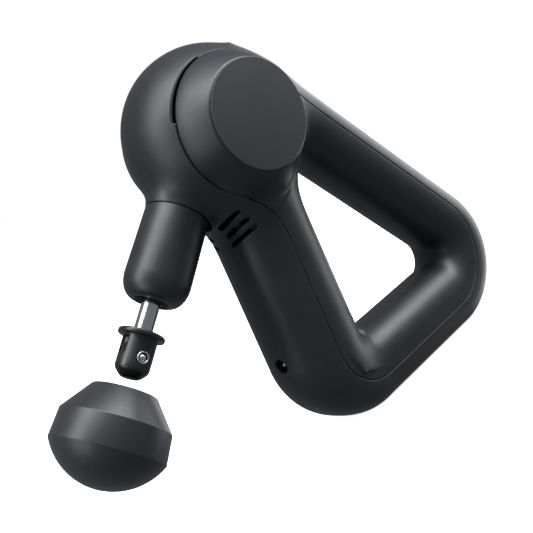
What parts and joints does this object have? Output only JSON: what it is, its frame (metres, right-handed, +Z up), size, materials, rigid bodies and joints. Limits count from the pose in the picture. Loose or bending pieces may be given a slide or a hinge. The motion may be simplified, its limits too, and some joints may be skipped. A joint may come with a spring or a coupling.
{
  "type": "massage gun",
  "caption": "Percussive massage gun with a triangular loop handle, round head, slanted arm, sliding shaft and a lifted-off foam dampener.",
  "frame": {"origin": "middle of the flat land under the base limb, on which the gun stands", "axes": "+Z up, X along the base limb with the arm and the foam dampener towards -X, Y across the width from the right cover to the left cover"},
  "size_m": [0.2238, 0.067, 0.1658],
  "materials": {
    "housing": "satin moulded",
    "cover": "satin moulded",
    "cap": "matte",
    "sleeve": "satin moulded",
    "black": "satin",
    "rubber": "matte",
    "chrome": "polished",
    "steel": "machined",
    "aluminium": "machined",
    "copper": "enamelled wire",
    "bronze": "sintered",
    "board": "lacquered",
    "foam": "closed-cell foam skin",
    "light": "translucent",
    "wrap": "film wrapped",
    "lead": "insulated"
  },
  "bodies": {
    "gun": {"arm_sleeve": "sleeve", "battery_board": "board", "battery_cell_base": "wrap", "battery_cell_front": "wrap", "battery_cell_upper": "wrap", "cell_cradle_base": "black", "cell_cradle_front": "black", "cell_cradle_upper": "black", "centre_housing": "housing", "charge_port_jack": "black", "charge_port_pin": "steel", "charging_lead": "lead", "control_board": "board", "control_panel": "black", "drive_frame": "aluminium", "inner_motor_bearing": "steel", "inner_shaft_bushing": "bronze", "left_cover_screw_1": "steel", "left_cover_screw_2": "steel", "left_cover_screw_3": "steel", "left_end_cap": "cap", "left_frame_mount_1": "rubber", "left_frame_mount_2": "rubber", "left_frame_mount_3": "rubber", "left_side_cover": "cover", "motor_driver_board": "board", "motor_stator_core": "steel", "motor_winding_ring": "copper", "outer_motor_bearing": "steel", "outer_shaft_bushing": "bronze", "right_cover_screw_1": "steel", "right_cover_screw_2": "steel", "right_cover_screw_3": "steel", "right_end_cap": "cap", "right_frame_mount_1": "rubber", "right_frame_mount_2": "rubber", "right_frame_mount_3": "rubber", "right_side_cover": "cover", "shaft_wiper_seal": "rubber", "status_light_pipe": "light"},
    "rotor": {"rotor_bell": "steel", "rotor_magnet_ring": "steel", "motor_shaft": "steel", "crank_disc": "steel", "cooling_fan": "black"},
    "shaft": {"percussion_shaft": "chrome", "wrist_pin": "steel", "attachment_connector": "black", "connector_cross_pin": "steel", "detent_ring": "chrome", "detent_spring": "steel"},
    "rod": {"connecting_rod": "aluminium", "big_end_bearing": "steel", "crank_pin": "steel"},
    "ball": {"detent_ball": "chrome"},
    "dampener": {"dampener_foam": "foam", "dampener_core": "black"},
    "power_key": {"power_button": "rubber"},
    "speed_up_key": {"speed_up_button": "rubber"},
    "speed_down_key": {"speed_down_button": "rubber"}
  },
  "joints": [
    {"name": "motor_spin", "type": "hinge", "parent": "gun", "child": "rotor", "pos_m": [-0.0405, 0, 0.1301], "axis": [0, 1, 0], "continuous": true},
    {"name": "shaft_stroke", "type": "slide", "parent": "gun", "child": "shaft", "axis": [-0.7859, 0, -0.6184], "range_m": [-0.008, 0.008]},
    {"name": "rod_swing", "type": "hinge", "parent": "shaft", "child": "rod", "pos_m": [-0.0667, 0, 0.11521], "axis": [0, 1, 0], "range_deg": [0, 31.3]},
    {"name": "detent_travel", "type": "slide", "parent": "shaft", "child": "ball", "axis": [0, 1, 0], "range_m": [0, 0.001], "stiffness_N_per_m": 800, "springref_m": -0.0005},
    {"name": "dampener_push_on", "type": "slide", "parent": "shaft", "child": "dampener", "axis": [0.7859, 0, 0.6184], "range_m": [0, 0.0185]},
    {"name": "power_press", "type": "slide", "parent": "gun", "child": "power_key", "axis": [-0.8289, 0, -0.5595], "range_m": [0, 0.0005], "stiffness_N_per_m": 1500, "springref_m": -0.0003},
    {"name": "speed_up_press", "type": "slide", "parent": "gun", "child": "speed_up_key", "axis": [-0.8289, 0, -0.5595], "range_m": [0, 0.0005], "stiffness_N_per_m": 1500, "springref_m": -0.0003},
    {"name": "speed_down_press", "type": "slide", "parent": "gun", "child": "speed_down_key", "axis": [-0.8289, 0, -0.5595], "range_m": [0, 0.0005], "stiffness_N_per_m": 1500, "springref_m": -0.0003}
  ]
}
